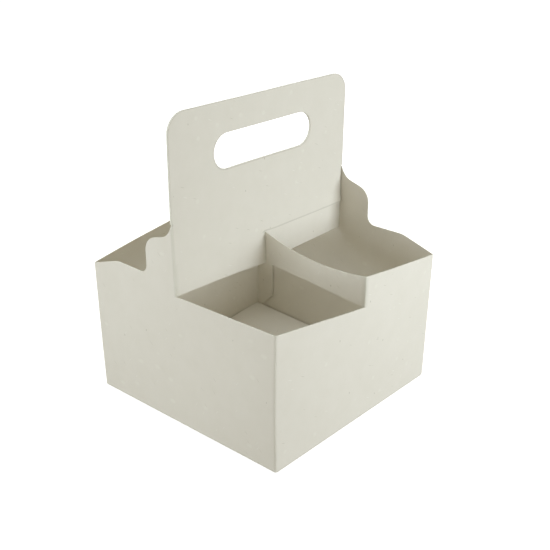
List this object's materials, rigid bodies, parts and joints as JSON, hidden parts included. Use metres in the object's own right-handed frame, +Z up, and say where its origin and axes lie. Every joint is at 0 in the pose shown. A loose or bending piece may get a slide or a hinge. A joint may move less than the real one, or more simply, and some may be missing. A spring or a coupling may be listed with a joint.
{
  "type": "cardboard cup carrier",
  "caption": "Folded grey card cup carrier: an open square box with a tall centre handle, a hand slot, curved shoulders and straps that divide the cup places.",
  "frame": {"origin": "middle of the underside of the base", "axes": "+Z up, +X along the handle panel, +Y across it"},
  "size_m": [0.185, 0.185, 0.24],
  "materials": {
    "card": "matte uncoated recycled board"
  },
  "bodies": {
    "root": {"carrier": "card"}
  },
  "joints": []
}
